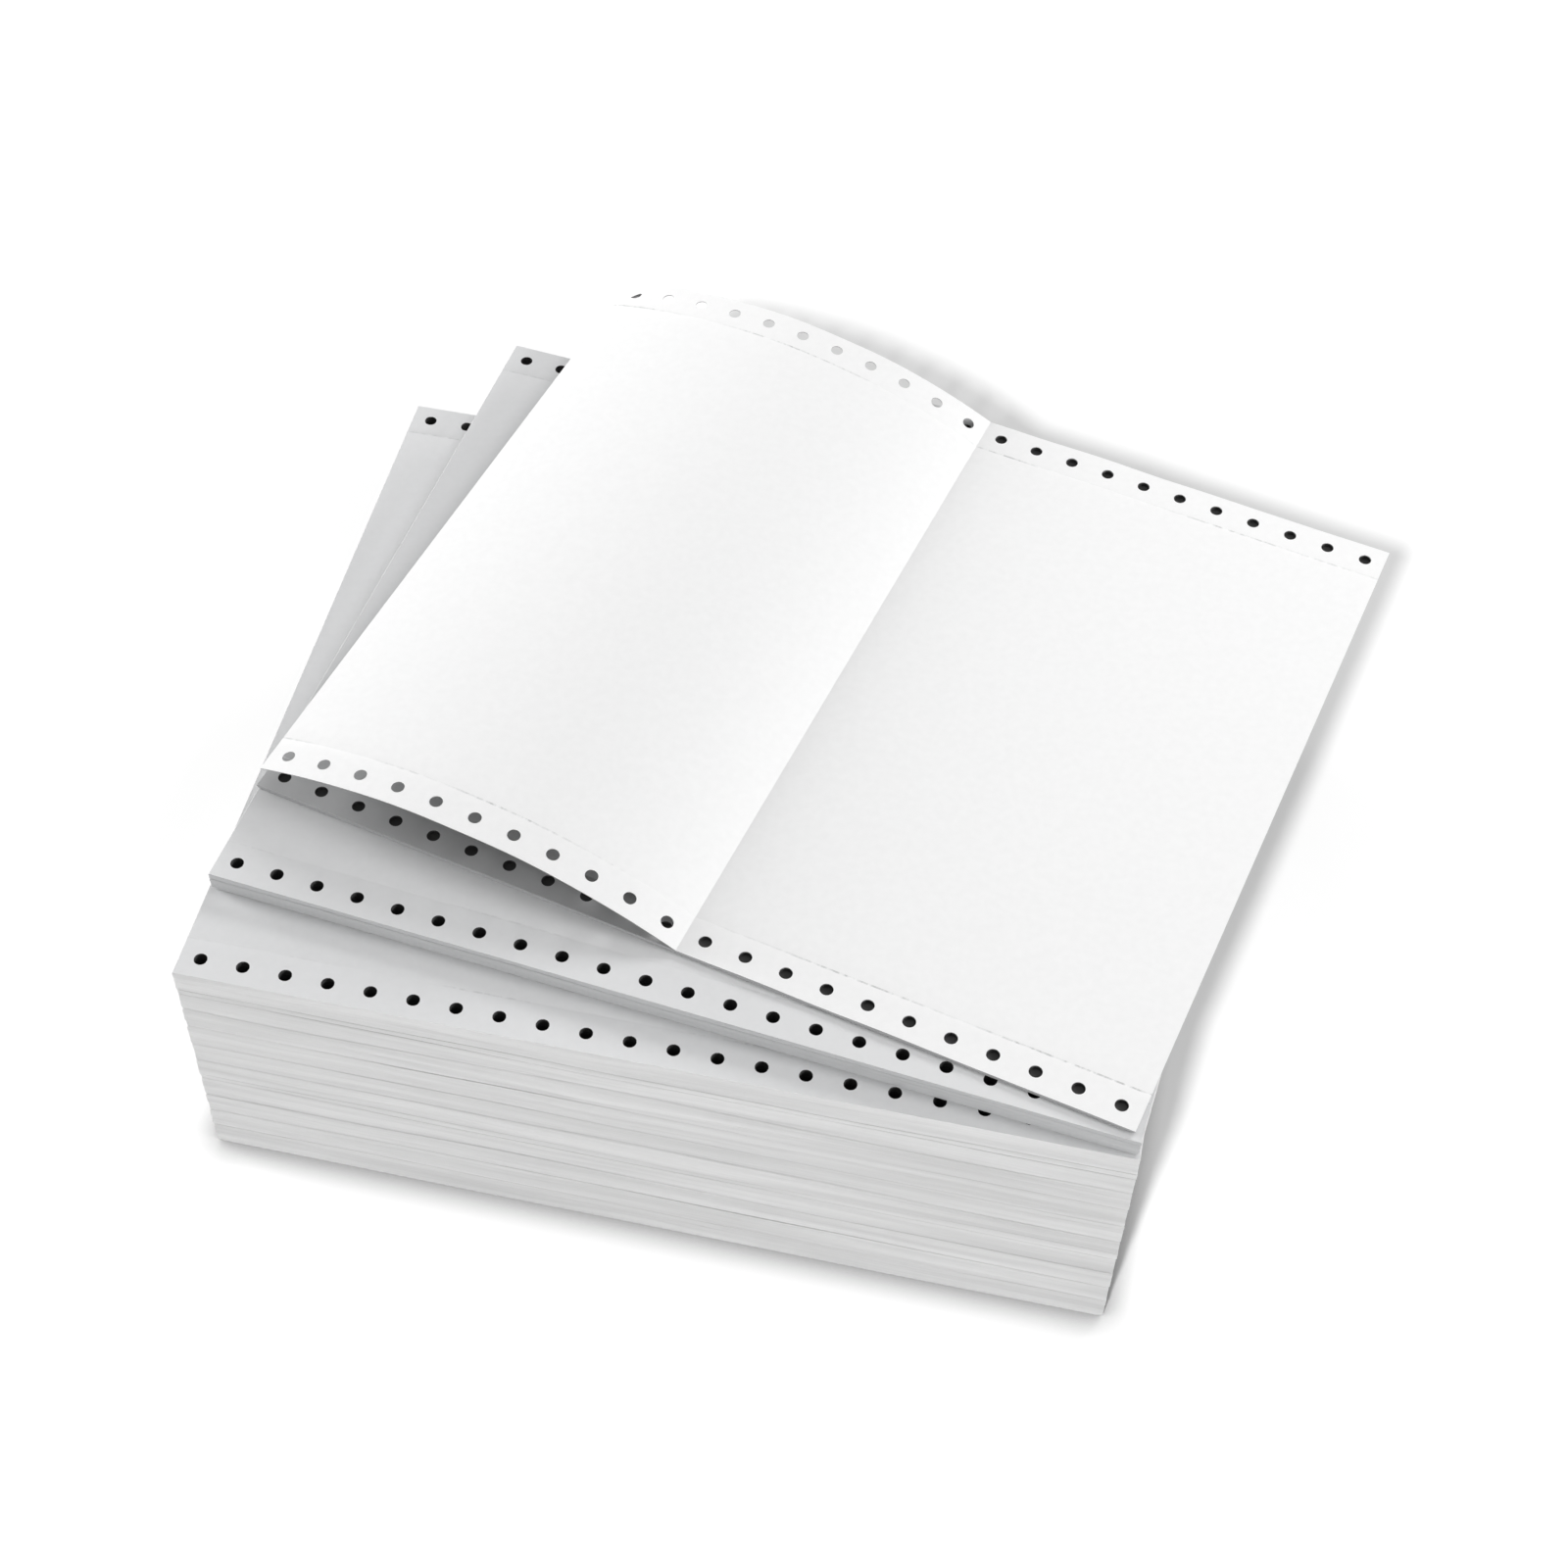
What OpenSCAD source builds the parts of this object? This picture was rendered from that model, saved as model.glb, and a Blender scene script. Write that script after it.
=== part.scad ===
// Stack of continuous form paper: fanfold forms with sprocket holes along both long edges.
// A square main stack carries a turned bundle and, turned further, the topmost forms,
// whose uppermost leaf bulges up from its half-form crease.
// Frame: origin at the middle of the main stack's underside, +X fold to fold,
// +Y from the front edge to the back edge, +Z up.

/* [Form] */
// Length of one form, from fold to fold (11 in)
form_length = 279.4; // [200:0.1:330]
// Width of the web with both tear-off strips (9.5 in)
form_width = 241.3; // [150:0.1:380]
// Thickness of the uppermost leaf, a form of a few plies
leaf_t = 0.25; // [0.1:0.05:0.6]

/* [Sprocket holes] */
// Distance from one sprocket hole to the next (0.5 in)
hole_pitch = 12.7; // [10:0.1:20]
// Diameter of a sprocket hole
hole_d = 4; // [2:0.1:6]
// Distance from a fold to the first hole centre
hole_from_fold = 6.35; // [4:0.05:10]
// Distance from a long edge to the hole centres
hole_from_edge = 6.35; // [5:0.05:10]

/* [Tear-off strips] */
// Distance from a long edge to the line where its strip tears off (0.5 in)
tear_from_edge = 12.7; // [10:0.1:20]
// Width of the groove that the perforated tear line leaves in a top face
tear_w = 0.4; // [0.2:0.05:1]
// Depth of that groove
tear_depth = 0.08; // [0.03:0.01:0.1]

/* [Main stack] */
// Height of the main stack
stack_h = 92; // [40:1:200]
// Number of lifts that the edges show, a lift being some sixty sheets lying tight together
stack_lift_count = 16; // [6:1:24]

/* [Turned bundle] */
// Height of the turned bundle
bundle_h = 7; // [3:0.1:20]
// Number of lifts that the bundle's edges show
bundle_lift_count = 2; // [1:1:4]
// Turn of the bundle about its front right corner, clockwise from above
bundle_angle = 6.2; // [0:0.1:20]
// Distance of the bundle's front right corner to the left of the main stack's
bundle_slip_x = 0.9; // [0:0.1:10]
// Distance of the bundle's front right corner to the back of the main stack's
bundle_slip_y = 0.9; // [0:0.1:10]

/* [Top forms] */
// Height of the few forms under the uppermost leaf
top_h = 1.4; // [0.8:0.1:6]
// Turn of the top forms about their front right corner, clockwise from above
top_angle = 12.7; // [0:0.1:30]
// Distance of the top forms' front right corner to the left of the main stack's
top_slip_x = 3; // [0:0.1:10]
// Distance of the top forms' front right corner to the back of the main stack's
top_slip_y = 3.2; // [0:0.1:10]

/* [Bulging leaf] */
// Angle through which the lifted half curves from its crease to its free edge
bulge_angle = 41; // [10:1:70]
// Slope of the straight line from the crease to the free edge
bulge_slope_angle = 4; // [0:0.5:12]

/* [Edges of the piles] */
// Gap that shows between two lifts
lift_gap = 0.3; // [0.1:0.05:0.5]
// Depth of that gap, measured from the edge of the pile
gap_depth = 1.8; // [1.2:0.1:2.2]
// Greatest shift of a lift to the front, the back or the sides
lift_shift = 0.25; // [0:0.05:0.8]
// Greatest rise and fall of the line between two lifts
lift_wave = 0.7; // [0:0.05:0.8]
// Height of one rounded ridge of folded edges, seen at the two fold ends
ridge_h = 1.4; // [0.8:0.1:3]
// Depth of the furrow between two such ridges
ridge_depth = 0.3; // [0.1:0.05:0.8]

/* [Hidden] */

half_form = form_length / 2;
hole_count = floor((form_length - 2 * hole_from_fold) / hole_pitch + 0.001) + 1;
hole_fn = 24;
// Overshoot of a cutter past the face that it cuts
past = 1;

// Radius of the lifted half's underside, from its length and the angle it curves through
bulge_r = half_form / (bulge_angle * PI / 180);
// Slope with which the lifted half leaves the crease
crease_slope = bulge_slope_angle + bulge_angle / 2;
bulge_fn = 240;

tear_lines_y = [tear_from_edge, form_width - tear_from_edge];

// Share by which the lifts differ in height
lift_spread = 0.6;
// Series of uneven() that spaces the lifts as the front face shows them
lift_seed = 53;
// Straight stretches in the line between two lifts
wave_steps = 8;
// Most of a lift's height that its edge lines may wander through
wave_share = 0.12;

// A fixed, uneven value from -1 to 1 for lift i, with one series for each use k
function uneven(i, k) = sin(i * 137.5 + k * 71);

// Height of seam i above the pile's underside, before it wanders
function lift_weight(i) = 1 + lift_spread * uneven(i, lift_seed);
function weight_below(i) = i <= 0 ? 0 : weight_below(i - 1) + lift_weight(i - 1);
function seam_level(i, lifts, height) = height * weight_below(i) / weight_below(lifts);

// Wander of seam i at x; the underside and the top of a pile stay flat
function seam_wander(i, lifts, height, x) =
    i == 0 || i == lifts ? 0 :
    min(lift_wave, wave_share * height / lifts)
    * (0.6 * sin(360 * x / form_length * (0.9 + 0.4 * uneven(i, 2)) + 90 * uneven(i, 3))
       + 0.8 * uneven(i, 4) * (x / form_length + 0.5));

function seam_z(i, lifts, height, x) =
    seam_level(i, lifts, height) + seam_wander(i, lifts, height, x);

// Underside and top of lift i at x, each half a gap away from the seam
function lift_low(i, lifts, height, x) =
    seam_z(i, lifts, height, x) + (i == 0 ? 0 : lift_gap / 2);
function lift_high(i, lifts, height, x) =
    seam_z(i + 1, lifts, height, x) - (i + 1 == lifts ? 0 : lift_gap / 2);

// Rounded ridges of a fold end between two heights, from low to high; out is +1 or -1
function fold_ridges(x_end, out, low, high) =
    let (n = max(1, round((high - low) / ridge_h)), h = (high - low) / n)
    [for (j = [0:n - 1], p = [[1, 0], [0.3, 0.14], [0, 0.36], [0, 0.64], [0.3, 0.86], [1, 1]])
        if (j == n - 1 || p[1] < 1)
            [x_end - out * ridge_depth * p[0], low + h * (j + p[1])]];

function reversed(list) = [for (i = [len(list) - 1:-1:0]) list[i]];

// Outline of lift i, seen from the front edge of the form
function lift_outline(i, lifts, height) =
    let (
        left = -form_length,
        step = form_length / wave_steps,
        inner = [for (j = [1:wave_steps - 1]) left + j * step],
        right_ridges = fold_ridges(0, 1,
            lift_low(i, lifts, height, 0), lift_high(i, lifts, height, 0)),
        left_ridges = fold_ridges(left, -1,
            lift_low(i, lifts, height, left), lift_high(i, lifts, height, left))
    )
    concat(
        [for (x = inner) [x, lift_low(i, lifts, height, x)]],
        right_ridges,
        [for (x = reversed(inner)) [x, lift_high(i, lifts, height, x)]],
        reversed(left_ridges)
    );

// Every pile is drawn with its front right corner at the origin.

// Draws its children upright behind the front edge, as deep as the web is wide
module across_web() {
    translate([0, form_width, 0])
        rotate([90, 0, 0])
            linear_extrude(height = form_width) children();
}

module sprocket_holes(count, length) {
    for (i = [0:count - 1], y = [hole_from_edge, form_width - hole_from_edge])
        translate([-hole_from_fold - i * hole_pitch, y, -past])
            cylinder(d = hole_d, h = length + 2 * past, $fn = hole_fn);
}

// A pile of folded forms, its edges in lifts that lie a little unevenly
module pile(height, lifts) {
    for (i = [0:lifts - 1])
        translate([lift_shift * uneven(i, 5), lift_shift * uneven(i, 6), 0])
            across_web() polygon(lift_outline(i, lifts, height));
    if (lifts > 1) pressed_middle(height, lifts);
}

// Grooves of the two tear lines in a flat top face, from x_left to past the right fold
module tear_grooves(x_left, top) {
    for (y = tear_lines_y)
        translate([x_left, y - tear_w / 2, top - tear_depth])
            cube([past - x_left, tear_w, tear_depth + past]);
}

// Inside the gaps the sheets press together, from half way up the first lift to half way up the last
module pressed_middle(height, lifts) {
    low = seam_level(1, lifts, height) / 2;
    high = (seam_level(lifts - 1, lifts, height) + height) / 2;
    translate([gap_depth - form_length, gap_depth, low])
        cube([form_length - 2 * gap_depth, form_width - 2 * gap_depth, high - low]);
}

// Sets a pile on the main stack, turned about its own front right corner
module on_stack(z, turn, slip_x, slip_y) {
    translate([half_form - slip_x, slip_y - form_width / 2, z])
        rotate([0, 0, -turn]) children();
}

module main_stack() {
    color([0.86, 0.86, 0.86])
        on_stack(0, 0, 0, 0)
            difference() {
                pile(stack_h, stack_lift_count);
                sprocket_holes(hole_count, stack_h);
                tear_grooves(-form_length - past, stack_h);
            }
}

module turned_bundle() {
    color([0.9, 0.9, 0.9])
        on_stack(stack_h, bundle_angle, bundle_slip_x, bundle_slip_y)
            difference() {
                pile(bundle_h, bundle_lift_count);
                sprocket_holes(hole_count, bundle_h);
                tear_grooves(-form_length - past, bundle_h);
            }
}

// Moves its children from the crease to the middle of the bulge's curve
module at_bulge_centre() {
    translate([-half_form - bulge_r * sin(crease_slope), 0, top_h - bulge_r * cos(crease_slope)])
        children();
}

// Cross-section of the uppermost leaf from edge to edge, with the grooves of its tear lines
module leaf_section() {
    groove = [[0, -1], [1, -1], [1, 1], [0, 1]];
    polygon(concat(
        [[0, 0], [leaf_t, 0]],
        [for (y = tear_lines_y, p = groove) [leaf_t - tear_depth * p[0], y + tear_w / 2 * p[1]]],
        [[leaf_t, form_width], [0, form_width]]
    ));
}

// The lifted half of the uppermost leaf, curved one way only, as paper bends
module lifted_half() {
    at_bulge_centre()
        translate([0, form_width, 0])
            rotate([90, 0, 0])
                rotate([0, 0, 90 - crease_slope])
                    rotate_extrude(angle = bulge_angle, $fn = bulge_fn)
                        translate([bulge_r, 0])
                            leaf_section();
}

// Sprocket holes of the lifted half, each square to the paper where it stands
module lifted_holes() {
    for (i = [0:hole_count - 1], y = [hole_from_edge, form_width - hole_from_edge])
        let (along = hole_from_fold + i * hole_pitch - half_form)
            if (along > 0)
                at_bulge_centre()
                    rotate([0, crease_slope - along / bulge_r * 180 / PI, 0])
                        translate([0, y, bulge_r - past])
                            cylinder(d = hole_d, h = leaf_t + 2 * past, $fn = hole_fn);
}

// The half of the uppermost leaf that lies flat, and the fold that joins it to the next form
module flat_half() {
    translate([-half_form, 0, top_h])
        cube([half_form - leaf_t, form_width, leaf_t]);
    across_web()
        translate([-leaf_t, top_h])
            circle(r = leaf_t, $fn = hole_fn);
}

module top_forms() {
    color([0.98, 0.98, 0.98])
        on_stack(stack_h + bundle_h, top_angle, top_slip_x, top_slip_y) {
            difference() {
                union() {
                    pile(top_h, 1);
                    flat_half();
                }
                sprocket_holes(hole_count, top_h + leaf_t);
                tear_grooves(leaf_t - half_form, top_h + leaf_t);
            }
            difference() {
                lifted_half();
                lifted_holes();
            }
        }
}

main_stack();
turned_bundle();
top_forms();
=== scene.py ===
"""Looks of a stack of continuous form paper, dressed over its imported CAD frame.

Each pile is drawn in its own coordinates, as in the CAD: x runs from the left fold at
-FORM_LENGTH to the right fold at 0, y from the front edge to the back edge, z up from the
pile's underside. place_pile() then turns it and sets it on what carries it.
"""

import math

import bpy
from mathutils import Matrix, Vector


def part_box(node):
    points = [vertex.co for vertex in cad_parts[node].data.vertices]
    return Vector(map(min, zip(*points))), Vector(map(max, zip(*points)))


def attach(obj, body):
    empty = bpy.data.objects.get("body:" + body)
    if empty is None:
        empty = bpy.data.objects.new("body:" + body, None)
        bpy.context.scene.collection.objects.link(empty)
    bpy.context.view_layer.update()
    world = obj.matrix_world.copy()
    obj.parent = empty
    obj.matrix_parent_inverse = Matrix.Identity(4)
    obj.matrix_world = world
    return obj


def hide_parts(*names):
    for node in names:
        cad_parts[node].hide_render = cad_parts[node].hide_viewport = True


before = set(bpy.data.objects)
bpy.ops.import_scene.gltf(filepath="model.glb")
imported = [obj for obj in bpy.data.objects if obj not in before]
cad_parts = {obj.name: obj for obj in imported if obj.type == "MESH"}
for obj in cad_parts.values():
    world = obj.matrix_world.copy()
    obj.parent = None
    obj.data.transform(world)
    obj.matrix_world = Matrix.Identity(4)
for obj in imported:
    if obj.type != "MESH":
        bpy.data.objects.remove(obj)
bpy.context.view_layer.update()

# Units
MM = 0.001

# The form
FORM_LENGTH = 279.4 * MM
FORM_WIDTH = 241.3 * MM
HALF_FORM = FORM_LENGTH / 2
LEAF_T = 0.25 * MM
HOLE_PITCH = 12.7 * MM
HOLE_R = 2 * MM
HOLE_FROM_FOLD = 6.35 * MM
HOLE_FROM_EDGE = 6.35 * MM
STRIP = 2 * HOLE_FROM_EDGE
SCORE_W = 0.6 * MM
SCORE_DEPTH = 0.06 * MM
HOLE_COUNT = round(FORM_LENGTH / HOLE_PITCH)

# The piles: two heights come from the frame, and the rest is as in the CAD
STACK_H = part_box("main_stack")[1].z
BUNDLE_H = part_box("turned_bundle")[1].z - STACK_H
TOP_H = 1.4 * MM
STACK_LIFTS = 16
BUNDLE_LIFTS = 2
BUNDLE_TURN = math.radians(6.2)
BUNDLE_SLIP = (0.9 * MM, 0.9 * MM)
TOP_TURN = math.radians(12.7)
TOP_SLIP = (3 * MM, 3.2 * MM)

# The bulging half of the uppermost leaf
BULGE_TURN = math.radians(41)
CREASE_SLOPE = math.radians(4) + BULGE_TURN / 2
BULGE_R = HALF_FORM / BULGE_TURN

# The lifts of a pile, as in the CAD, but with less shift
LIFT_GAP = 0.3 * MM
LIFT_SHIFT = 0.1 * MM
LIFT_SPREAD = 0.6
LIFT_SEED = 53
LIFT_WAVE = 0.7 * MM
WAVE_SHARE = 0.12
WAVE_PART = 0.6
TILT_PART = 0.8
WAVES_ALONG = 0.9
WAVES_SPREAD = 0.4

# The groove between two lifts, shallower than the CAD's gap: it fades in and out along the edge
GROOVE_DEPTH = 0.2 * MM
GROOVE_REST = 0.05
GROOVE_AT_FOLDS = 0.2
GROOVE_STRENGTH = 0.55
STRENGTH_SPREAD = 0.45
FADE_LENGTH = 34 * MM
FADE_SPREAD = 9 * MM

# The fold ends: the lower RIDGE_POWER, the blunter the ridges and the narrower the furrows
RIDGE_H = 1.4 * MM
RIDGE_DEPTH = 0.3 * MM
RIDGE_POWER = 0.45
PRESSED_R = 1.8 * MM

# The cut edges
EDGE_SWELL = 0.3 * MM
SHEET_JITTER = 0.05 * MM
SEAM_RIPPLE = 0.3 * MM
# Waves along an edge: the weight of each, its length over one radian and its shift by the seed
RIPPLE_WAVES = ((0.6, 26 * MM, 3), (0.4, 11 * MM, 5))
DRIFT_WAVES = ((0.9, 61 * MM, 1), (0.5, 23 * MM, 2))
# Streaks: the weight of each, its height, how far it follows the drift, its shift by the seed
STREAKS = ((0.45, 7.3 * MM, 1, 1), (0.33, 3.1 * MM, 1.3, 2.1), (0.22, 16 * MM, -1, 3.7))

# The meshes: where the points between a hole and its cell lie, how many rows are between the
# tear lines, and from which angle in degrees an edge between two faces is crisp
MIDDLE_RING = 0.4
PILE_ROWS = 16
LEAF_ROWS = 34
LEAF_PARTS = 6
PILE_CRISP_ANGLE = 30
LEAF_CRISP_ANGLE = 20

# Material slots of a piece: the inner faces are a pile's bores or the leaf's underside
FACE, EDGE, INNER, LINE, FOLD = range(5)

# The camera, as fitted to the sprocket holes of the photograph
CAMERA_AT = Vector((108.0, -510.8, 723.9)) * MM
CAMERA_AZIMUTH = math.radians(10.40)
CAMERA_ELEVATION = math.radians(51.33)
CAMERA_ROLL = math.radians(2.05)
FOCAL_PIXELS = 2712.8
IMAGE_PIXELS = 1600
SENSOR_MM = 36


# Unevenness of the piles, the same for every run

ITEM_TURN = 137.5
SERIES_TURN = 71


def uneven(i, k):
    """A fixed, uneven value from -1 to 1 for item i, with one series for each use k."""
    return math.sin(math.radians(i * ITEM_TURN + k * SERIES_TURN))


def sum_waves(along, waves, seed):
    return sum(weight * math.sin(along / length + shift * seed) for weight, length, shift in waves)


def lift_weight(i):
    return 1 + LIFT_SPREAD * uneven(i, LIFT_SEED)


def seam_level(i, lifts, height):
    """Height of the seam under lift i before it wanders."""
    below = sum(lift_weight(j) for j in range(i))
    return height * below / sum(lift_weight(j) for j in range(lifts))


def seam_z(i, lifts, height, x):
    """Height of the seam under lift i at x: it wanders as in the CAD, with a fine ripple added."""
    level = seam_level(i, lifts, height)
    if i in (0, lifts):
        return level
    span = x / FORM_LENGTH
    waves = WAVES_ALONG + WAVES_SPREAD * uneven(i, 2)
    wave = WAVE_PART * math.sin(math.tau * span * waves + math.pi / 2 * uneven(i, 3))
    tilt = TILT_PART * uneven(i, 4) * (span + 0.5)
    wander = min(LIFT_WAVE, WAVE_SHARE * height / lifts) * (wave + tilt)
    return level + wander + SEAM_RIPPLE * sum_waves(x, RIPPLE_WAVES, i)


def lift_low(i, lifts, height, x):
    return seam_z(i, lifts, height, x) + (LIFT_GAP / 2 if i else 0)


def lift_high(i, lifts, height, x):
    return seam_z(i + 1, lifts, height, x) - (LIFT_GAP / 2 if i + 1 < lifts else 0)


def long_streaks(along, z, seed):
    """Soft swell of a cut edge, from 0 to 1: long streaks that drift up and down."""
    drift = sum_waves(along, DRIFT_WAVES, seed)
    wave = sum(
        weight * math.sin(math.tau * z / tall + follow * drift + shift * seed)
        for weight, tall, follow, shift in STREAKS
    )
    return 0.5 + 0.5 * wave


# Mesh tools

class FormGrid:
    """A form laid flat, in quads that leave the sprocket holes open.

    parts is the number of quads along a side of a hole's cell, rows their number between the
    tear lines. rim and holes are the form's loops, scored the points along the two lines where
    the strips tear off. The quads from number plain on lie along these lines.
    """

    def __init__(self, parts, rows):
        self.points, self.quads, self.holes = [], [], []
        self.parts = parts
        self.columns = HOLE_COUNT * parts
        front_strip = [STRIP * j / parts for j in range(parts)]
        front_line = [STRIP, STRIP + SCORE_W / 2, STRIP + SCORE_W]
        middle = FORM_WIDTH - 2 * front_line[-1]
        inner = [front_line[-1] + middle * j / rows for j in range(1, rows)]
        back_line = [FORM_WIDTH - y for y in reversed(front_line)]
        back_strip = [FORM_WIDTH - STRIP + STRIP * j / parts for j in range(1, parts + 1)]
        self.levels = front_strip + front_line + inner + back_line + back_strip
        self.lattice = {}
        front, back = parts, len(self.levels) - 1 - parts
        self._strip(0, HOLE_FROM_EDGE)
        self._rows(front + 2, back - 2)
        self._strip(back, FORM_WIDTH - HOLE_FROM_EDGE)
        self.plain = len(self.quads)
        self._rows(front, front + 2)
        self._rows(back - 2, back)
        lines = (front + 1, back - 1)
        self.scored = [self.lattice[i, j] for j in lines for i in range(self.columns + 1)]
        self.rim = self._rim()

    def _add(self, x, y):
        self.points.append((x, y))
        return len(self.points) - 1

    def _node(self, i, j):
        if (i, j) not in self.lattice:
            x = -FORM_LENGTH + FORM_LENGTH * i / self.columns
            self.lattice[i, j] = self._add(x, self.levels[j])
        return self.lattice[i, j]

    def _rows(self, low, high):
        """Rows of plain quads from one level to another."""
        for j in range(low, high):
            for i in range(self.columns):
                self.quads.append(
                    (self._node(i, j), self._node(i + 1, j),
                     self._node(i + 1, j + 1), self._node(i, j + 1))
                )

    def _strip(self, j0, hole_y):
        """A tear-off strip, with a square cell round each sprocket hole."""
        for k in range(HOLE_COUNT):
            self._cell(k * self.parts, j0, -FORM_LENGTH + HOLE_FROM_FOLD + k * HOLE_PITCH, hole_y)

    def _cell(self, i0, j0, hole_x, hole_y):
        """Two rings of quads between the outline of a cell and its hole."""
        n = self.parts
        square = [(i0 + s, j0) for s in range(n)] + [(i0 + n, j0 + s) for s in range(n)]
        square += [(i0 + n - s, j0 + n) for s in range(n)] + [(i0, j0 + n - s) for s in range(n)]
        outer = [self._node(i, j) for i, j in square]
        middle, inner = [], []
        for index in outer:
            x, y = self.points[index]
            reach = math.hypot(x - hole_x, y - hole_y)
            rim_x = hole_x + (x - hole_x) / reach * HOLE_R
            rim_y = hole_y + (y - hole_y) / reach * HOLE_R
            inner.append((rim_x, rim_y))
            middle.append((rim_x + MIDDLE_RING * (x - rim_x), rim_y + MIDDLE_RING * (y - rim_y)))
        middle = [self._add(*point) for point in middle]
        inner = [self._add(*point) for point in inner]
        for a, b in ((outer, middle), (middle, inner)):
            for s in range(4 * n):
                t = (s + 1) % (4 * n)
                self.quads.append((a[s], a[t], b[t], b[s]))
        self.holes.append(inner)

    def _rim(self):
        last = len(self.levels) - 1
        loop = [(i, 0) for i in range(self.columns)]
        loop += [(self.columns, j) for j in range(last)]
        loop += [(i, last) for i in range(self.columns, 0, -1)]
        loop += [(0, j) for j in range(last, 0, -1)]
        return [self.lattice[node] for node in loop]


def cap_faces(grid):
    """The underside and the top of a sheet or a pile, and the material slot of each face."""
    count = len(grid.points)
    faces = [tuple(reversed(q)) for q in grid.quads]
    faces += [tuple(v + count for v in q) for q in grid.quads]
    half = [FACE] * grid.plain + [LINE] * (len(grid.quads) - grid.plain)
    return faces, half + half


def press_lines(grid, vertices):
    """Presses the tear lines a little into the top face."""
    for v in grid.scored:
        x, y, z = vertices[v + len(grid.points)]
        vertices[v + len(grid.points)] = (x, y, z - SCORE_DEPTH)


def ring_faces(low, high):
    """Quads between two loops of the same length, facing out of a loop that runs anticlockwise."""
    count = len(low)
    return [(low[s], low[(s + 1) % count], high[(s + 1) % count], high[s]) for s in range(count)]


def make_object(name, vertices, faces, slots, matrix, materials, crisp_angle):
    """A mesh object, shaded smooth but for the edges that are sharper than crisp_angle."""
    mesh = bpy.data.meshes.new(name)
    mesh.from_pydata([matrix @ Vector(v) for v in vertices], [], faces)
    for material in materials:
        mesh.materials.append(material)
    mesh.polygons.foreach_set("material_index", slots)
    mesh.validate()
    mesh.shade_smooth()
    mesh.set_sharp_from_angle(angle=math.radians(crisp_angle))
    piece = bpy.data.objects.new(name, mesh)
    bpy.context.scene.collection.objects.link(piece)
    return piece


def place_pile(turn, slip, z):
    """Takes a pile to its place: underside at z, turned clockwise about its front right corner."""
    corner = Vector((HALF_FORM - slip[0], slip[1] - FORM_WIDTH / 2, z))
    return Matrix.Translation(corner) @ Matrix.Rotation(-turn, 4, "Z")


# The piles

def wall_rows(lifts, height, sheet_h):
    """Rows of a pile's wall from the ground up: lift, share of its height, whether in a groove."""
    rows = []
    for i in range(lifts):
        thickness = lift_high(i, lifts, height, -HALF_FORM) - lift_low(i, lifts, height, -HALF_FORM)
        steps = max(2, round(thickness / sheet_h))
        if i:
            rows.append((i, 0, True))
        rows += [(i, s / steps, False) for s in range(steps + 1)]
        if i + 1 < lifts:
            rows.append((i, 1, True))
    return rows


def groove_depth(x, y, i, seed):
    """Depth of the groove above or below lift i at a place on the rim."""
    length = FADE_LENGTH + FADE_SPREAD * uneven(i, 8)
    fade = 0.5 + 0.5 * math.sin((x + 2 * y) / length + 5 * i + seed)
    strength = GROOVE_STRENGTH + STRENGTH_SPREAD * uneven(i, 12)
    return GROOVE_DEPTH * (GROOVE_REST + (1 - GROOVE_REST) * strength * fade ** 3)


def fold_ridge(share, thickness):
    """Depth of the fold end at a share of a lift's height, from furrow to furrow."""
    count = max(1, round(thickness / RIDGE_H))
    across = (share * count) % 1
    return RIDGE_DEPTH * (1 - math.sin(math.pi * across) ** RIDGE_POWER)


def pressed_round(z):
    """How far the lowest fold ends draw in, where the weight of the pile rounds them."""
    rise = max(0, PRESSED_R - z)
    return PRESSED_R - math.sqrt(PRESSED_R ** 2 - rise ** 2)


def wall_point(x, y, row, lifts, height, seed, number):
    """Where a rim point of a pile stands in one row of its wall."""
    i, share, in_groove = row
    low, high = lift_low(i, lifts, height, x), lift_high(i, lifts, height, x)
    z = low + (high - low) * share
    dx, dy = LIFT_SHIFT * uneven(i, 5), LIFT_SHIFT * uneven(i, 6)
    groove = groove_depth(x, y, i, seed) if in_groove else 0
    if y in (0, FORM_WIDTH):
        inward = 1 if y == 0 else -1
        swell = EDGE_SWELL * long_streaks(x, z, seed + 2 * y / FORM_WIDTH)
        dy += inward * (groove + swell + SHEET_JITTER * (1 + uneven(number, 7 + inward)))
    if x in (-FORM_LENGTH, 0):
        inward = -1 if x == 0 else 1
        dx += inward * (GROOVE_AT_FOLDS * groove + fold_ridge(share, high - low) + pressed_round(z))
    return x + dx, y + dy, z


def add_bores(grid, vertices, faces, floor):
    """Adds the walls of the bores, from the top to the underside or to a floor of their own."""
    count = len(grid.points)
    for hole in grid.holes:
        bottom = hole
        if floor:
            bottom = range(len(vertices), len(vertices) + len(hole))
            vertices += [(*grid.points[v], floor) for v in hole]
            faces.append(tuple(bottom))
        faces += ring_faces([v + count for v in hole], bottom)


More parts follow.
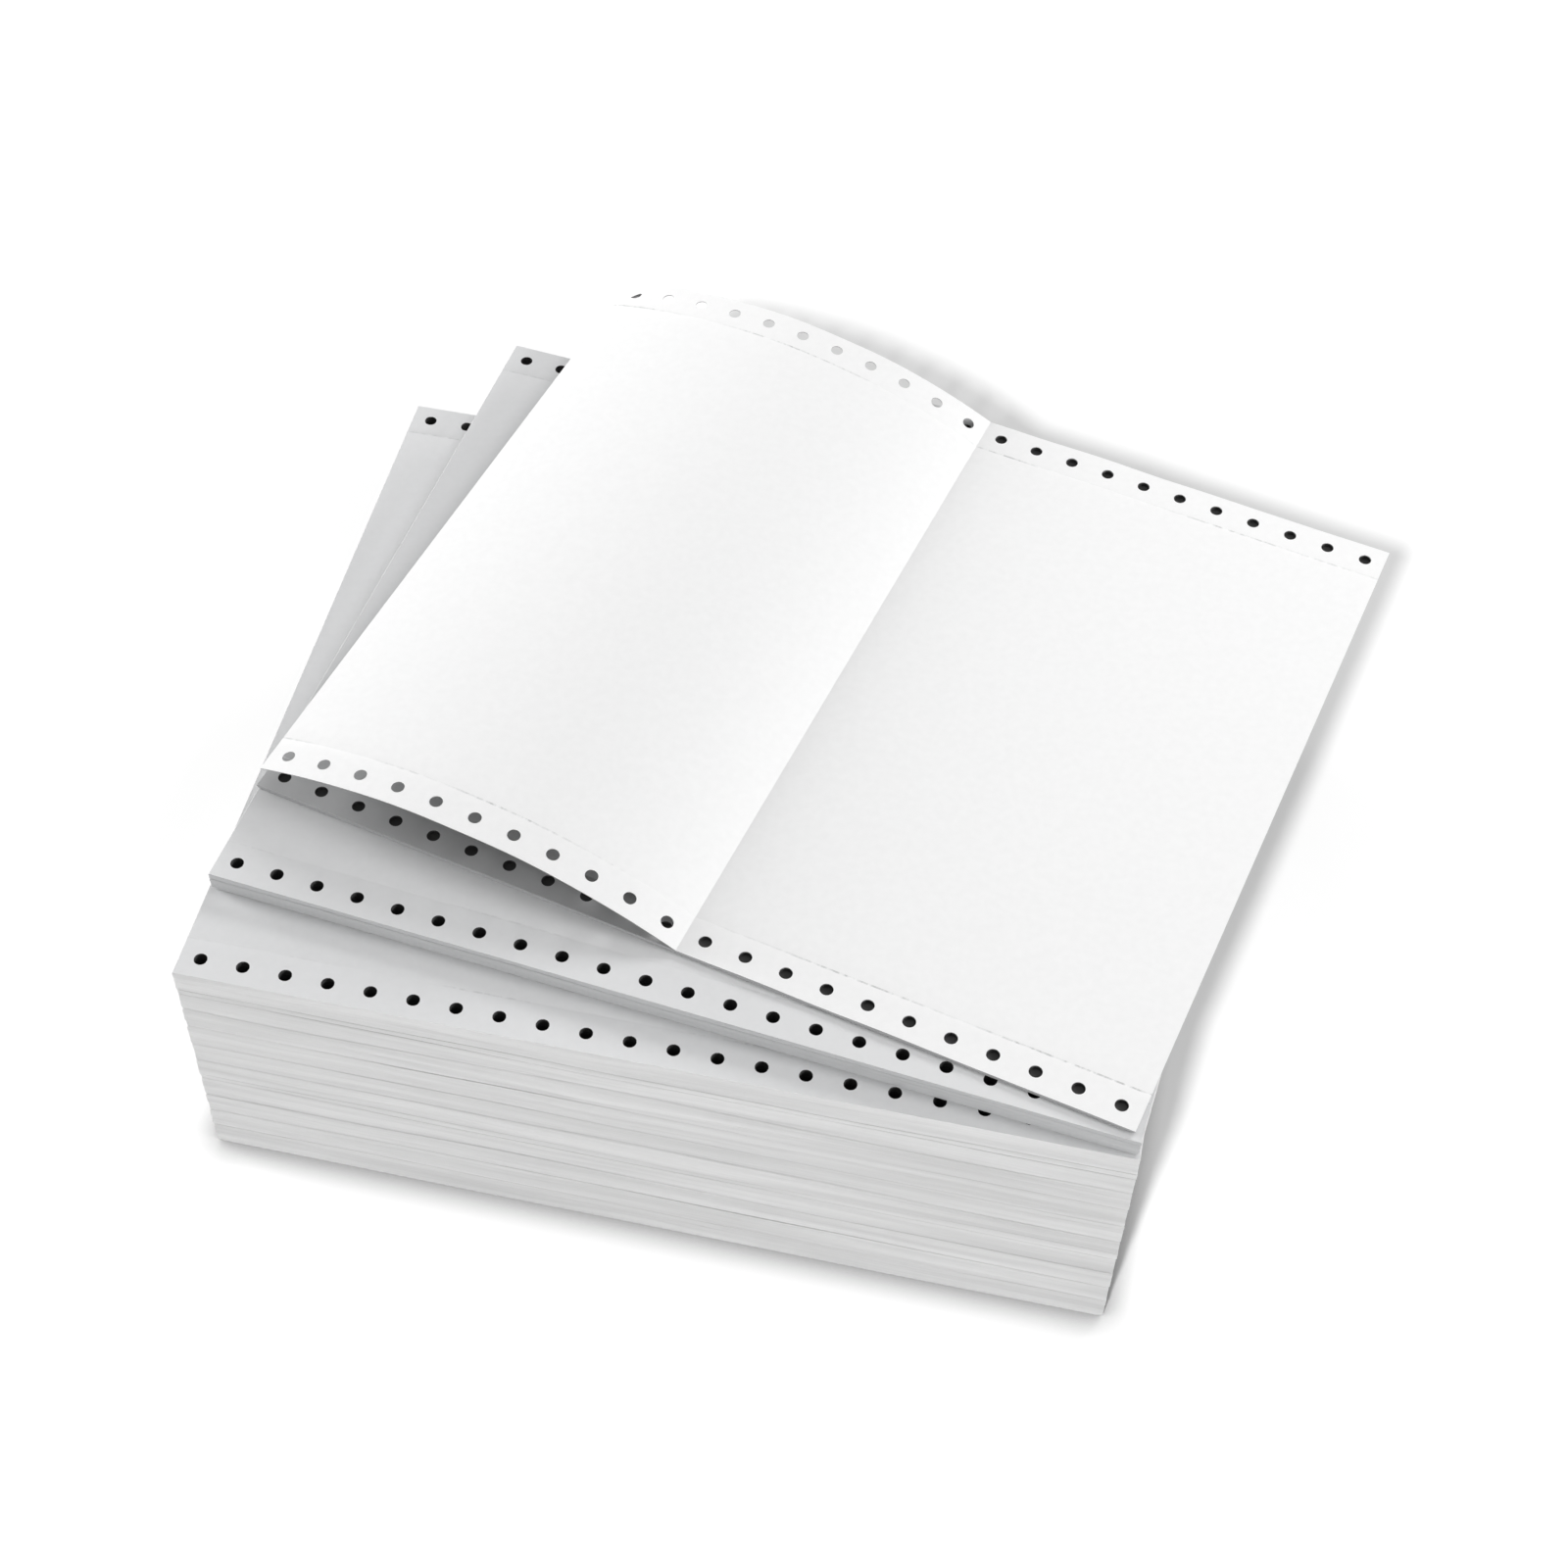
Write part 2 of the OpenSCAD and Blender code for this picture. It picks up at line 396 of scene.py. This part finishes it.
def add_wall(grid, vertices, faces, lifts, height, sheet_h, seed):
    """Adds the wall between the rims of underside and top, and returns its faces' material slots."""
    rows = wall_rows(lifts, height, sheet_h)
    below = None
    for number, row in enumerate(rows):
        if number == 0:
            ring = grid.rim
        elif number == len(rows) - 1:
            ring = [v + len(grid.points) for v in grid.rim]
        else:
            ring = range(len(vertices), len(vertices) + len(grid.rim))
            vertices += [None] * len(ring)
        for v, rim_point in zip(ring, grid.rim):
            vertices[v] = wall_point(*grid.points[rim_point], row, lifts, height, seed, number)
        if below:
            faces += ring_faces(below, ring)
        below = ring
    at_folds = [grid.points[v][0] in (-FORM_LENGTH, 0) for v in grid.rim]
    pairs = zip(at_folds, at_folds[1:] + at_folds[:1])
    return [FOLD if all(pair) else EDGE for pair in pairs] * (len(rows) - 1)


def build_pile(name, height, lifts, sheet_h, parts, seed, matrix, materials, bore_floor=0):
    """A pile of folded forms as one closed solid, with the bores of its sprocket holes.

    With a bore floor, the bores end at that height on a floor of the same dark tone, painted
    shade where another pile covers them from below. Otherwise they go right through.
    """
    grid = FormGrid(parts, PILE_ROWS)
    vertices = [(x, y, z) for z in (0, height) for x, y in grid.points]
    press_lines(grid, vertices)
    faces, slots = cap_faces(grid)
    if bore_floor:
        faces += [tuple(reversed(hole)) for hole in grid.holes]
        slots += [FACE] * len(grid.holes)
    add_bores(grid, vertices, faces, bore_floor)
    slots += [INNER] * (len(faces) - len(slots))
    slots += add_wall(grid, vertices, faces, lifts, height, sheet_h, seed)
    return make_object(name, vertices, faces, slots, matrix, materials, PILE_CRISP_ANGLE)


# The uppermost leaf

LEAF_RIPPLE = 0.4 * MM
RIPPLE_FROM_EDGE = 18 * MM
RIPPLE_FROM_CREASE = 20 * MM
SHORT_RIPPLE = 15 * MM
LONG_RIPPLE = 37 * MM
CORNER_REACH = 17 * MM
CORNER_ROLL_R = 8 * MM


def rolled_corner(x, y):
    """How the free back corner curls: how far it draws in along x and y, and how far it drops."""
    to_corner = (x + FORM_LENGTH) + (FORM_WIDTH - y)
    past_fold = (CORNER_REACH - to_corner) / math.sqrt(2)
    if past_fold <= 0:
        return 0, 0
    angle = past_fold / CORNER_ROLL_R
    draw = past_fold - CORNER_ROLL_R * math.sin(angle)
    return draw / math.sqrt(2), CORNER_ROLL_R * (1 - math.cos(angle))


def edge_ripple(x, y):
    """Slight waviness of the leaf, from 0 to 1: most at its long edges and none at the crease."""
    to_edge = min(y, FORM_WIDTH - y)
    near = math.exp(-to_edge / RIPPLE_FROM_EDGE) * min(1, abs(x + HALF_FORM) / RIPPLE_FROM_CREASE)
    wave = math.sin(x / SHORT_RIPPLE + 2 * y / FORM_WIDTH) * math.sin(x / LONG_RIPPLE + 1)
    return near * wave * wave


def leaf_point(x, y, above):
    """A point of the uppermost leaf, at a height above its underside, square to the paper."""
    draw, drop = rolled_corner(x, y)
    ripple = LEAF_RIPPLE * edge_ripple(x, y)
    if x >= -HALF_FORM:
        return x, y, TOP_H + above + ripple
    angle = CREASE_SLOPE - (-HALF_FORM - x) / BULGE_R
    centre_x = -HALF_FORM - BULGE_R * math.sin(CREASE_SLOPE)
    centre_z = TOP_H - BULGE_R * math.cos(CREASE_SLOPE)
    reach = BULGE_R + above - ripple
    return (
        centre_x + reach * math.sin(angle) + draw,
        y - draw,
        centre_z + reach * math.cos(angle) - drop,
    )


def build_leaf(name, matrix, materials):
    """The uppermost leaf as one closed thin sheet, flat on the right and bulging on the left."""
    grid = FormGrid(LEAF_PARTS, LEAF_ROWS)
    count = len(grid.points)
    vertices = [leaf_point(x, y, above) for above in (0, LEAF_T) for x, y in grid.points]
    press_lines(grid, vertices)
    faces, slots = cap_faces(grid)
    slots[:len(grid.quads)] = [INNER] * len(grid.quads)
    for hole in grid.holes:
        faces += ring_faces([v + count for v in hole], hole)
    faces += ring_faces(grid.rim, [v + count for v in grid.rim])
    slots += [EDGE] * (len(faces) - len(slots))
    return make_object(name, vertices, faces, slots, matrix, materials, LEAF_CRISP_ANGLE)


# Material tools

def grey(level):
    return (level, level, level)


def dimmed(tone, share):
    return [c * share for c in tone]


def new_material(name):
    material = bpy.data.materials.new(name)
    material.use_nodes = True
    nodes, links = material.node_tree.nodes, material.node_tree.links
    return material, nodes, links, nodes["Principled BSDF"]


def add_wander(nodes, links, scale, reach):
    """The object's own metres, moved up and down by slow noise, so that long streaks undulate."""
    place = nodes.new("ShaderNodeTexCoord")
    noise = nodes.new("ShaderNodeTexNoise")
    noise.inputs["Scale"].default_value = scale
    noise.inputs["Detail"].default_value = 1
    moved = nodes.new("ShaderNodeVectorMath")
    moved.operation = "MULTIPLY_ADD"
    moved.inputs[1].default_value = (0, 0, reach)
    links.new(place.outputs["Object"], noise.inputs["Vector"])
    links.new(noise.outputs["Color"], moved.inputs[0])
    links.new(place.outputs["Object"], moved.inputs[2])
    return moved.outputs["Vector"]


def add_noise(nodes, links, scale, detail, stretch=(1, 1, 1), place=None):
    """Noise in the object's own metres, drawn out along the axes whose stretch is small."""
    place = place or nodes.new("ShaderNodeTexCoord").outputs["Object"]
    mapping = nodes.new("ShaderNodeMapping")
    mapping.inputs["Scale"].default_value = stretch
    noise = nodes.new("ShaderNodeTexNoise")
    noise.inputs["Scale"].default_value = scale
    noise.inputs["Detail"].default_value = detail
    links.new(place, mapping.inputs["Vector"])
    links.new(mapping.outputs["Vector"], noise.inputs["Vector"])
    return noise.outputs["Fac"]


def add_ramp(nodes, links, source, low, high, start=0.3, end=0.7):
    """A colour that goes from low to high while the source goes from start to end."""
    ramp = nodes.new("ShaderNodeValToRGB")
    ramp.color_ramp.elements[0].position = start
    ramp.color_ramp.elements[1].position = end
    ramp.color_ramp.elements[0].color = (*low, 1)
    ramp.color_ramp.elements[1].color = (*high, 1)
    links.new(source, ramp.inputs["Fac"])
    return ramp.outputs["Color"]


def multiply(nodes, links, first, second):
    mix = nodes.new("ShaderNodeMix")
    mix.data_type = "RGBA"
    mix.blend_type = "MULTIPLY"
    mix.inputs["Factor"].default_value = 1
    links.new(first, mix.inputs["A"])
    links.new(second, mix.inputs["B"])
    return mix.outputs["Result"]


def add_bump(nodes, links, height, strength, distance, before=None):
    """The normals of a bumpy surface, laid over those of a bump before it."""
    bump = nodes.new("ShaderNodeBump")
    bump.inputs["Strength"].default_value = strength
    bump.inputs["Distance"].default_value = distance
    links.new(height, bump.inputs["Height"])
    if before:
        links.new(before, bump.inputs["Normal"])
    return bump.outputs["Normal"]


def add_roughness(nodes, links, source, bsdf, low, high):
    span = nodes.new("ShaderNodeMapRange")
    span.inputs["To Min"].default_value = low
    span.inputs["To Max"].default_value = high
    links.new(source, span.inputs["Value"])
    links.new(span.outputs["Result"], bsdf.inputs["Roughness"])


# Materials: how far the mottle of a face and the rings of a bore dim the tone, and by how much
# each of the three kinds of streaks on an edge does at full streaking

MOTTLE_SHARE = 0.975
RING_SHARE = 0.6
BROAD_DIP = 0.1
STREAK_DIP = 0.075
SHEET_DIP = 0.035


def paper_face(name, tone):
    """The face of a sheet: matt, faintly mottled, with fine fibre and a soft cockle."""
    material, nodes, links, bsdf = new_material(name)
    mottle = add_noise(nodes, links, scale=420, detail=4)
    fibre = add_noise(nodes, links, scale=2600, detail=3, stretch=(1, 0.35, 1))
    cockle = add_noise(nodes, links, scale=16, detail=2)
    colour = add_ramp(nodes, links, mottle, dimmed(tone, MOTTLE_SHARE), tone)
    links.new(colour, bsdf.inputs["Base Color"])
    soft = add_bump(nodes, links, cockle, strength=0.35, distance=0.9 * MM)
    fine = add_bump(nodes, links, fibre, strength=0.25, distance=0.03 * MM, before=soft)
    links.new(fine, bsdf.inputs["Normal"])
    add_roughness(nodes, links, mottle, bsdf, low=0.78, high=0.92)
    bsdf.inputs["Specular IOR Level"].default_value = 0.25
    return material


def paper_edge(name, tone, streaking=1):
    """The cut or folded edges of many sheets: long soft streaks that undulate, over fine lines."""
    material, nodes, links, bsdf = new_material(name)
    wander = add_wander(nodes, links, scale=13, reach=6 * MM)
    broad = add_noise(nodes, links, scale=1, detail=2, stretch=(7, 7, 150), place=wander)
    streaks = add_noise(nodes, links, scale=1, detail=2, stretch=(12, 12, 420), place=wander)
    sheets = add_noise(nodes, links, scale=1, detail=2, stretch=(40, 40, 2600), place=wander)
    dim = dimmed(tone, 1 - BROAD_DIP * streaking)
    streak_dim = grey(1 - STREAK_DIP * streaking)
    sheet_dim = grey(1 - SHEET_DIP * streaking)
    broad_tone = add_ramp(nodes, links, broad, dim, tone, start=0.38, end=0.62)
    streak_tone = add_ramp(nodes, links, streaks, streak_dim, grey(1), start=0.36, end=0.6)
    sheet_tone = add_ramp(nodes, links, sheets, sheet_dim, grey(1), start=0.35, end=0.55)
    streaked = multiply(nodes, links, broad_tone, streak_tone)
    links.new(multiply(nodes, links, streaked, sheet_tone), bsdf.inputs["Base Color"])
    soft = add_bump(nodes, links, streaks, strength=0.5, distance=0.25 * MM)
    fine = add_bump(nodes, links, sheets, strength=0.4, distance=0.06 * MM, before=soft)
    links.new(fine, bsdf.inputs["Normal"])
    add_roughness(nodes, links, sheets, bsdf, low=0.82, high=0.96)
    bsdf.inputs["Specular IOR Level"].default_value = 0.15
    return material


def tear_line(name, tone, cut_share):
    """The perforated line of a tear-off strip: short cuts in shade, with stretches that lie shut."""
    material, nodes, links, bsdf = new_material(name)
    cuts = add_noise(nodes, links, scale=520, detail=2)
    shut = add_noise(nodes, links, scale=24, detail=1)
    cut_tone = add_ramp(nodes, links, cuts, dimmed(tone, cut_share), tone, start=0.36, end=0.64)
    opened = add_ramp(nodes, links, shut, grey(0), grey(1), start=0.4, end=0.56)
    mix = nodes.new("ShaderNodeMix")
    mix.data_type = "RGBA"
    mix.inputs["A"].default_value = (*tone, 1)
    links.new(opened, mix.inputs["Factor"])
    links.new(cut_tone, mix.inputs["B"])
    links.new(mix.outputs["Result"], bsdf.inputs["Base Color"])
    bump = add_bump(nodes, links, cuts, strength=0.6, distance=0.08 * MM)
    links.new(bump, bsdf.inputs["Normal"])
    add_roughness(nodes, links, cuts, bsdf, low=0.85, high=0.97)
    bsdf.inputs["Specular IOR Level"].default_value = 0.15
    return material


def bore_wall(name, tone):
    """The inside of a punched pile: rough rings of cut paper, in a dark tone that is painted shade.
    """
    material, nodes, links, bsdf = new_material(name)
    rings = add_noise(nodes, links, scale=1, detail=3, stretch=(60, 60, 1800))
    colour = add_ramp(nodes, links, rings, dimmed(tone, RING_SHARE), tone)
    links.new(colour, bsdf.inputs["Base Color"])
    fine = add_bump(nodes, links, rings, strength=0.5, distance=0.08 * MM)
    links.new(fine, bsdf.inputs["Normal"])
    add_roughness(nodes, links, rings, bsdf, low=0.88, high=1)
    bsdf.inputs["Specular IOR Level"].default_value = 0.1
    return material


# The pieces

LEAF_TONE = grey(0.935)
# The piles are the same white paper as the leaf: their faces, cut edges and fold ends are toned down
# to grey as painted shade, the fold ends most.
FACE_TONE = (0.76, 0.764, 0.77)
EDGE_TONE = grey(0.735)
FOLD_TONE = grey(0.66)
# Painted shade: the turned bundle's edges are darker than the stack's, though the paper is the same.
BUNDLE_EDGE_TONE = (0.53, 0.535, 0.54)
# Painted shade: the top forms lie under the leaf, and their faces and edges are toned darker for it;
# the leaf's rim takes the same edge tone.
TOP_FORM_TONE = (0.64, 0.645, 0.65)
TOP_EDGE_TONE = (0.4, 0.403, 0.406)
# Painted shade: the leaf's underside is grey, though the leaf is white on both sides.
LEAF_BACK_TONE = grey(0.42)
# Painted shade: the bores' walls and the floors that close them are near black, though the paper is
# white.
BORE_TONE = grey(0.12)
BORE_FLOOR = 0.1 * MM


def dress(piece, node):
    """Ties a piece to its body and hides the CAD node that it stands for."""
    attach(piece, "root")
    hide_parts(node)


def build_paper():
    face = paper_face("form_faces", FACE_TONE)
    edge = paper_edge("form_edges", EDGE_TONE)
    bore = bore_wall("punched_bores", BORE_TONE)
    line = tear_line("form_tear_lines", FACE_TONE, cut_share=0.86)
    fold = paper_edge("form_folds", FOLD_TONE)
    bundle_edge = paper_edge("bundle_edges", BUNDLE_EDGE_TONE, streaking=0.5)
    shaded_face = paper_face("top_form_faces", TOP_FORM_TONE)
    shaded_edge = paper_edge("top_form_edges", TOP_EDGE_TONE, streaking=0.2)
    leaf_face = paper_face("leaf_top", LEAF_TONE)
    leaf_back = paper_face("leaf_underside", LEAF_BACK_TONE)
    leaf_line = tear_line("leaf_tear_lines", LEAF_TONE, cut_share=0.66)
    stack = build_pile(
        "main_stack_sheets", STACK_H, STACK_LIFTS, sheet_h=0.33 * MM, parts=4, seed=0.4,
        matrix=place_pile(0, (0, 0), 0), materials=(face, edge, bore, line, fold),
    )
    bundle = build_pile(
        "turned_bundle_sheets", BUNDLE_H, BUNDLE_LIFTS, sheet_h=0.25 * MM, parts=5, seed=2.2,
        matrix=place_pile(BUNDLE_TURN, BUNDLE_SLIP, STACK_H),
        materials=(face, bundle_edge, bore, line, fold),
    )
    top_place = place_pile(TOP_TURN, TOP_SLIP, STACK_H + BUNDLE_H)
    forms = build_pile(
        "top_forms_sheets", TOP_H, 1, sheet_h=0.2 * MM, parts=5, seed=3.1, matrix=top_place,
        materials=(shaded_face, shaded_edge, bore, line, shaded_edge), bore_floor=BORE_FLOOR,
    )
    leaf = build_leaf("uppermost_leaf", top_place, (leaf_face, shaded_edge, leaf_back, leaf_line))
    dress(stack, "main_stack")
    dress(bundle, "turned_bundle")
    dress(forms, "top_forms")
    dress(leaf, "top_forms")


# The floor and the backdrop

FLOOR_HALF = 3.0
FLOOR_TONE = 0.28
SEEN_FLOOR_TONE = 0.3
SEEN_FLOOR_GLOW = 0.24
FAR_FLOOR_GLOW = 1.0
GLOW_RISES_FROM = 0.2
GLOW_RISES_TO = 1.0
# The painted contact shadow: beside the object, the floor that the camera sees turns towards a dark
# diffuse, by ambient occlusion within a short reach.
CONTACT_SHADOW_TONE = 0.1
CONTACT_SHARE = 0.25
CONTACT_REACH = 10 * MM
CONTACT_SAMPLES = 8
CORNER_OPENNESS = 0.5
WORLD_STRENGTH = 0.17


def camera_ray(nodes):
    return nodes.new("ShaderNodeLightPath").outputs["Is Camera Ray"]


def glow_by_distance(nodes, links):
    """The floor's own white: low round the object, full where the lamps fall off."""
    place = nodes.new("ShaderNodeTexCoord")
    away = nodes.new("ShaderNodeVectorMath")
    away.operation = "LENGTH"
    rise = nodes.new("ShaderNodeMapRange")
    rise.inputs["From Min"].default_value = GLOW_RISES_FROM
    rise.inputs["From Max"].default_value = GLOW_RISES_TO
    rise.inputs["To Min"].default_value = SEEN_FLOOR_GLOW
    rise.inputs["To Max"].default_value = FAR_FLOOR_GLOW
    links.new(place.outputs["Object"], away.inputs[0])
    links.new(away.outputs["Value"], rise.inputs["Value"])
    return rise.outputs["Result"]


def openness(nodes, links):
    """How open the floor is to the light, which sets its painted contact shadow: CONTACT_SHARE
    beside the object, 1 away from it.
    """
    near = nodes.new("ShaderNodeAmbientOcclusion")
    near.inputs["Distance"].default_value = CONTACT_REACH
    near.samples = CONTACT_SAMPLES
    share = nodes.new("ShaderNodeMapRange")
    share.inputs["From Min"].default_value = CORNER_OPENNESS
    share.inputs["To Min"].default_value = CONTACT_SHARE
    links.new(near.outputs["AO"], share.inputs["Value"])
    return share.outputs["Result"]


def add_diffuse(nodes, tone):
    shader = nodes.new("ShaderNodeBsdfDiffuse")
    shader.inputs["Color"].default_value = (*grey(tone), 1)
    return shader.outputs["BSDF"]


def mix_shaders(nodes, links, share, first, second):
    """The first shader where share is 0, the second where it is 1."""
    mix = nodes.new("ShaderNodeMixShader")
    links.new(share, mix.inputs["Fac"])
    links.new(first, mix.inputs[1])
    links.new(second, mix.inputs[2])
    return mix.outputs["Shader"]


def floor_white():
    """Plain and dull to other rays; to the camera, lifted to white, with a painted contact shadow
    beside the object.
    """
    material, nodes, links, bsdf = new_material("floor_white")
    bsdf.inputs["Base Color"].default_value = (*grey(FLOOR_TONE), 1)
    bsdf.inputs["Roughness"].default_value = 1
    bsdf.inputs["Specular IOR Level"].default_value = 0
    glow = nodes.new("ShaderNodeEmission")
    links.new(glow_by_distance(nodes, links), glow.inputs["Strength"])
    lifted = nodes.new("ShaderNodeAddShader")
    links.new(add_diffuse(nodes, SEEN_FLOOR_TONE), lifted.inputs[0])
    links.new(glow.outputs["Emission"], lifted.inputs[1])
    contact = add_diffuse(nodes, CONTACT_SHADOW_TONE)
    seen = mix_shaders(nodes, links, openness(nodes, links), contact, lifted.outputs["Shader"])
    either = mix_shaders(nodes, links, camera_ray(nodes), bsdf.outputs["BSDF"], seen)
    links.new(either, nodes["Material Output"].inputs["Surface"])
    return material


def build_floor():
    """A plain white floor that keeps the object's shadow and meets the white backdrop."""
    half = FLOOR_HALF
    corners = [(-half, -half, 0), (half, -half, 0), (half, half, 0), (-half, half, 0)]
    mesh = bpy.data.meshes.new("floor")
    mesh.from_pydata(corners, [], [(0, 1, 2, 3)])
    mesh.materials.append(floor_white())
    floor = bpy.data.objects.new("floor", mesh)
    bpy.context.scene.collection.objects.link(floor)
    return floor


def build_world():
    """Even ambient light, with a white backdrop for what the camera sees."""
    world = bpy.data.worlds.new("studio")
    bpy.context.scene.world = world
    world.use_nodes = True
    nodes, links = world.node_tree.nodes, world.node_tree.links
    background = nodes["Background"]
    background.inputs["Color"].default_value = (1, 1, 1, 1)
    strength = nodes.new("ShaderNodeMapRange")
    strength.inputs["To Min"].default_value = WORLD_STRENGTH
    strength.inputs["To Max"].default_value = 1
    links.new(camera_ray(nodes), strength.inputs["Value"])
    links.new(strength.outputs["Result"], background.inputs["Strength"])


# The lights and the camera

LAMP_DISTANCE = 2.0


def direction(bearing, rise):
    """Unit vector at a bearing from +X and a rise, both in radians."""
    level = math.cos(rise)
    return Vector((level * math.cos(bearing), level * math.sin(bearing), math.sin(rise)))


def add_softbox(name, bearing, rise, spread, share):
    """A round soft light at a bearing from +X and a rise, both in degrees.

    spread is its angular width; share is the light that it gives a face turned to it, where
    a white face at 1 renders white.
    """
    out = direction(math.radians(bearing), math.radians(rise))
    lamp = bpy.data.lights.new(name, "AREA")
    lamp.shape = "DISK"
    lamp.size = 2 * LAMP_DISTANCE * math.tan(math.radians(spread) / 2)
    lamp.energy = share * math.pi ** 2 * LAMP_DISTANCE ** 2
    holder = bpy.data.objects.new(name, lamp)
    holder.location = Vector((0, 0, STACK_H)) + LAMP_DISTANCE * out
    holder.rotation_mode = "QUATERNION"
    holder.rotation_quaternion = (-out).to_track_quat("-Z", "Y")
    bpy.context.scene.collection.objects.link(holder)
    return holder


def build_lights(floor):
    """Soft light on the paper, and a lamp for the floor alone that sets off the far edges."""
    add_softbox("key_behind_right", bearing=58, rise=33, spread=22, share=0.49)
    add_softbox("fill_right", bearing=-8, rise=25, spread=20, share=0.47)
    add_softbox("low_left", bearing=168, rise=12, spread=22, share=1.0)
    add_softbox("low_front", bearing=-82, rise=4, spread=12, share=0.42)
    add_softbox("over_head", bearing=90, rise=80, spread=40, share=0.17)
    outline = add_softbox("floor_from_front", bearing=-94.5, rise=46, spread=3.5, share=2.45)
    floor_only = bpy.data.collections.new("floor_only")
    floor_only.objects.link(floor)
    outline.light_linking.receiver_collection = floor_only


def build_camera():
    """The photograph's own view, from the fitted place, angle and focal length."""
    camera = bpy.data.cameras.new("camera")
    camera.sensor_fit = "HORIZONTAL"
    camera.sensor_width = SENSOR_MM
    camera.lens = FOCAL_PIXELS / IMAGE_PIXELS * SENSOR_MM
    camera.clip_start = 0.05
    camera.clip_end = 50
    ahead = direction(CAMERA_AZIMUTH + math.pi / 2, -CAMERA_ELEVATION)
    level = direction(CAMERA_AZIMUTH, 0)
    upright = level.cross(ahead)
    right = math.cos(CAMERA_ROLL) * level + math.sin(CAMERA_ROLL) * upright
    up = math.cos(CAMERA_ROLL) * upright - math.sin(CAMERA_ROLL) * level
    turn = Matrix((right, up, -ahead)).transposed().to_4x4()
    holder = bpy.data.objects.new("camera", camera)
    holder.matrix_world = Matrix.Translation(CAMERA_AT) @ turn
    bpy.context.scene.collection.objects.link(holder)
    bpy.context.scene.camera = holder


bpy.context.scene.view_settings.view_transform = "Standard"
build_camera()
build_world()
build_lights(build_floor())
build_paper()
